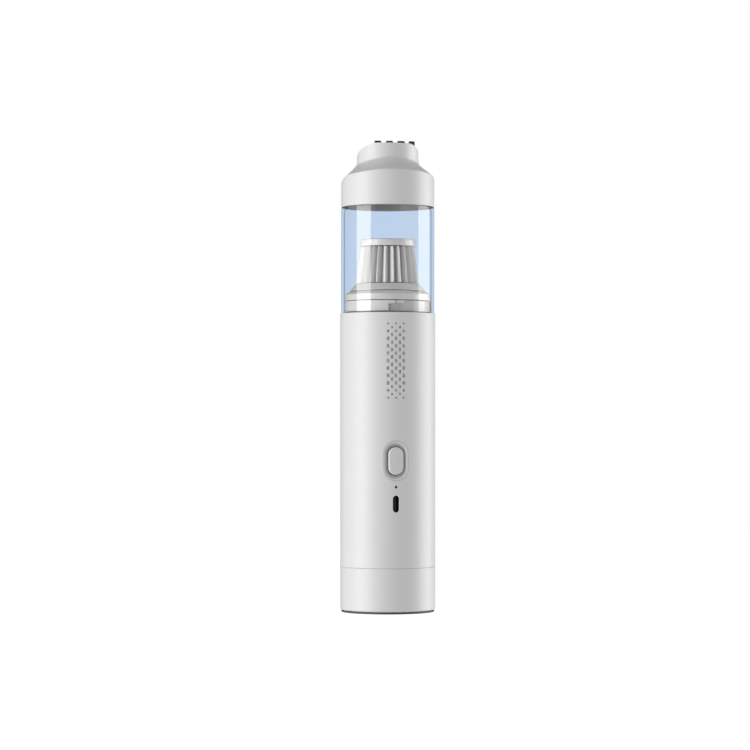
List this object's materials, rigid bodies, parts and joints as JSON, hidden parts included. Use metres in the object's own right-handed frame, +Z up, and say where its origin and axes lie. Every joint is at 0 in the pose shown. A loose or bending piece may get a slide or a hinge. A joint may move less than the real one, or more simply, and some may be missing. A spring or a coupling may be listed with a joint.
{
  "type": "car vacuum cleaner",
  "caption": "Slim cordless hand-held car vacuum cleaner that stands on its tail: clear twist-off dust cup, pleated filter, slanted nozzle, pill-shaped power button and charging inlet.",
  "frame": {"origin": "centre of the foot ring's underside, on the surface that the vacuum stands on", "axes": "+Z up along the handle towards the nozzle, -Y out of the front with the power button, +X to the right seen from the front"},
  "size_m": [0.05, 0.05, 0.2459],
  "materials": {
    "casing": "fine-textured light warm grey ABS",
    "trim": "smooth light grey ABS",
    "white_plastic": "smooth off-white plastic",
    "clear_cup": "clear light-blue polycarbonate",
    "filter_paper": "pleated white filter paper",
    "dark_rubber": "soft dark slate rubber",
    "black_plastic": "black moulded plastic",
    "steel": "bright plated steel",
    "brass": "plain brass and sintered bronze",
    "board_green": "green solder mask on glass-fibre board",
    "cell_wrap": "blue shrink wrap on steel cells",
    "foam": "grey open-cell foam",
    "red_wire": "red wire insulation",
    "black_wire": "black wire insulation",
    "clear_lens": "clear light pipe"
  },
  "bodies": {
    "handle": {"foot_ring": "dark_rubber", "tail_cap": "casing", "tail_screw_1": "steel", "tail_screw_2": "steel", "tail_screw_3": "steel", "body_shell": "casing", "button_bezel": "trim", "tact_switch": "steel", "control_board": "board_green", "board_screw_1": "steel", "board_screw_2": "steel", "usb_socket_shell": "steel", "usb_tongue": "black_plastic", "led_chip": "clear_lens", "light_pipe": "clear_lens", "battery_cradle": "black_plastic", "battery_cell_left": "cell_wrap", "battery_cell_right": "cell_wrap", "cell_link_strip": "steel", "battery_tab_positive": "steel", "battery_tab_negative": "steel", "battery_lead_positive": "red_wire", "battery_lead_negative": "black_wire", "motor_lead_positive": "red_wire", "motor_lead_negative": "black_wire", "motor_damper": "dark_rubber", "motor_can": "steel", "motor_end_bell": "black_plastic", "motor_magnet_left": "black_plastic", "motor_magnet_right": "black_plastic", "motor_bearing_lower": "brass", "motor_bearing_upper": "brass", "motor_plate": "black_plastic", "motor_screw_1": "steel", "motor_screw_2": "steel", "diffuser": "black_plastic", "fan_shroud": "black_plastic", "exhaust_foam": "foam", "bayonet_collar": "white_plastic", "intake_guard": "white_plastic"},
    "power_key": {"power_button": "trim", "switch_plunger": "black_plastic"},
    "rotor": {"motor_shaft": "steel", "motor_armature": "steel", "commutator": "brass", "impeller": "white_plastic"},
    "cup_seal": {"collar_oring": "dark_rubber"},
    "cup_assembly": {"dust_cup": "clear_cup", "nozzle_cap": "casing", "cap_oring": "dark_rubber", "mouth_lip": "dark_rubber", "flap_seat": "white_plastic", "flap_pin": "steel"},
    "filter": {"filter_flange": "white_plastic", "filter_retainer": "white_plastic", "filter_core": "white_plastic", "filter_pleats": "filter_paper", "filter_top_disc": "white_plastic", "filter_gasket": "dark_rubber"},
    "flap": {"inlet_flap": "dark_rubber"}
  },
  "joints": [
    {"name": "button_press", "type": "slide", "parent": "handle", "child": "power_key", "axis": [0, 1, 0], "range_m": [0, 0.0006], "stiffness_N_per_m": 800, "springref_m": -0.0005},
    {"name": "rotor_spin", "type": "hinge", "parent": "handle", "child": "rotor", "pos_m": [0, 0, 0.14], "axis": [0, 0, 1], "continuous": true},
    {"name": "cup_twist", "type": "hinge", "parent": "handle", "child": "cup_seal", "pos_m": [0, 0, 0.1563], "axis": [0, 0, 1], "range_deg": [0, 22]},
    {"name": "cup_lift", "type": "slide", "parent": "cup_seal", "child": "cup_assembly", "axis": [0, 0, 1], "range_m": [0, 0.07]},
    {"name": "filter_lift", "type": "slide", "parent": "cup_assembly", "child": "filter", "axis": [0, 0, 1], "range_m": [0, 0.004]},
    {"name": "flap_swing", "type": "hinge", "parent": "cup_assembly", "child": "flap", "pos_m": [0, 0.0163, 0.2244], "axis": [1, 0, 0], "range_deg": [0, 50], "stiffness_Nm_per_rad": 0.002, "springref_deg": -14.32}
  ]
}
